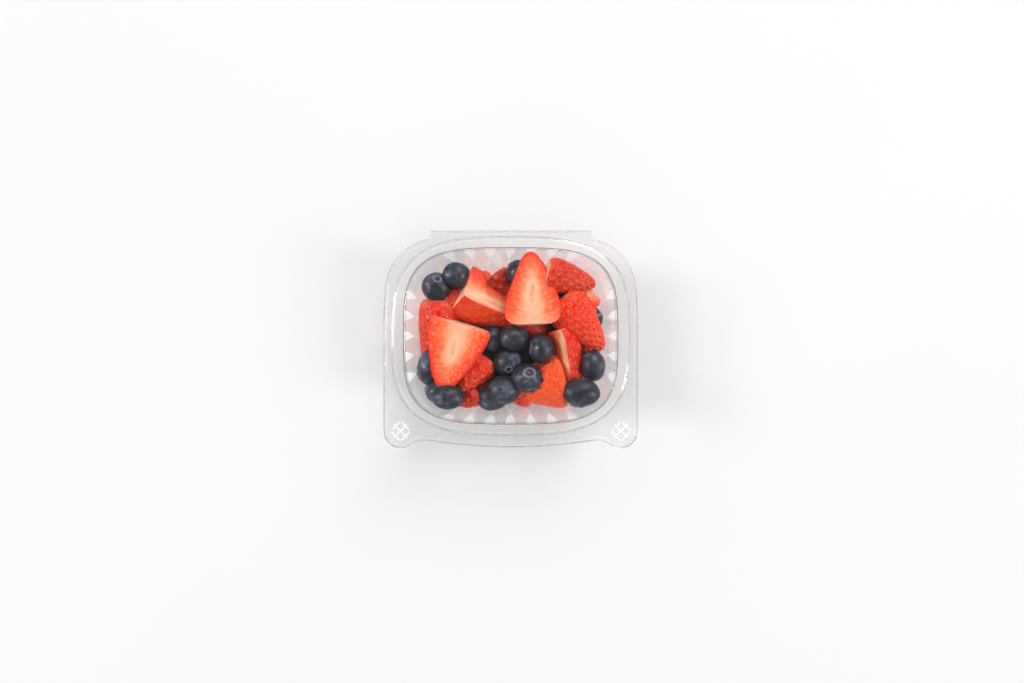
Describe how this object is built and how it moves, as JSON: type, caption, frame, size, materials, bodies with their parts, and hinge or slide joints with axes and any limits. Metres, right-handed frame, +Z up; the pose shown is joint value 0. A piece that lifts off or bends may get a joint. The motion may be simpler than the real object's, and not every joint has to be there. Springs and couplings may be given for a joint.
{
  "type": "hinged deli container",
  "caption": "Clear plastic container with a hinged lid, filled with cut strawberries and whole blueberries.",
  "frame": {"origin": "on the table, under the middle of the container's bounding box", "axes": "+X to the right along the hinge, +Y to the back where the hinge is, +Z up"},
  "size_m": [0.137, 0.1172, 0.0489],
  "materials": {
    "tray": "clear thermoformed plastic sheet",
    "lid": "clear thermoformed plastic sheet",
    "fruit": "wet cut strawberries and bloomed blueberries"
  },
  "bodies": {
    "base": {"tray": "tray", "fruit": "fruit"},
    "lid": {"lid": "lid"}
  },
  "joints": [
    {"name": "lid_hinge", "type": "hinge", "parent": "base", "child": "lid", "pos_m": [0, 0.05895, 0.0392], "axis": [-1, 0, 0], "range_deg": [0, 180]}
  ]
}
